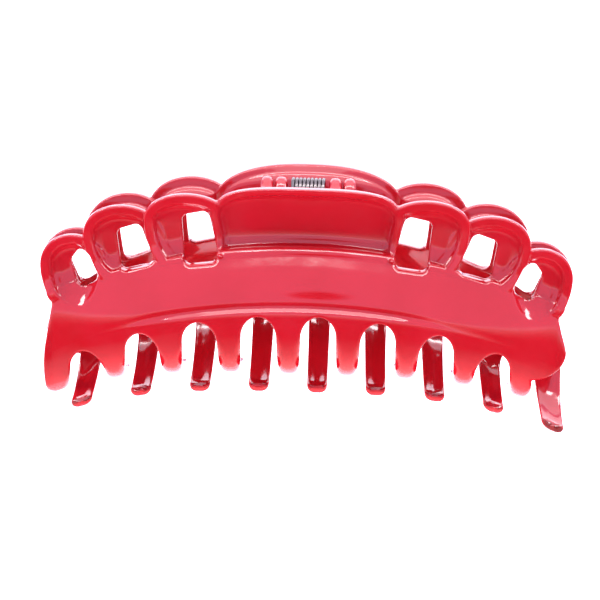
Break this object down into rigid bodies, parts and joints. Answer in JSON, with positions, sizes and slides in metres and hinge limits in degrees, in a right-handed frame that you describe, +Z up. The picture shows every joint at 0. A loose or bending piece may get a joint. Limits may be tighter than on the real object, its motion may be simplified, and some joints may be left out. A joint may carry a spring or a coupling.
{
  "type": "claw hair clip",
  "caption": "Large arched claw hair clip: two interlocking toothed jaws with scalloped, pierced upper edges, sprung shut on a hinge pin.",
  "frame": {"origin": "centre of the bounding box's base, on the plane that the end teeth's tips stand on", "axes": "+X along the clip and its hinge, +Y from the front jaw to the back jaw, +Z up from the teeth to the handles"},
  "size_m": [0.13, 0.0398, 0.0615],
  "materials": {
    "jaw_plastic": "polished crimson injection moulding",
    "pin_steel": "drawn steel wire",
    "spring_steel": "drawn spring wire"
  },
  "bodies": {
    "front": {"front_jaw": "jaw_plastic", "hinge_pin": "pin_steel", "torsion_spring": "spring_steel"},
    "back": {"back_jaw": "jaw_plastic"}
  },
  "joints": [
    {"name": "jaw_hinge", "type": "hinge", "parent": "front", "child": "back", "pos_m": [0, 0, 0.05726], "axis": [1, 0, 0], "range_deg": [0, 110], "stiffness_Nm_per_rad": 0.1, "springref_deg": -57.3, "deforming": ["torsion_spring"]}
  ]
}
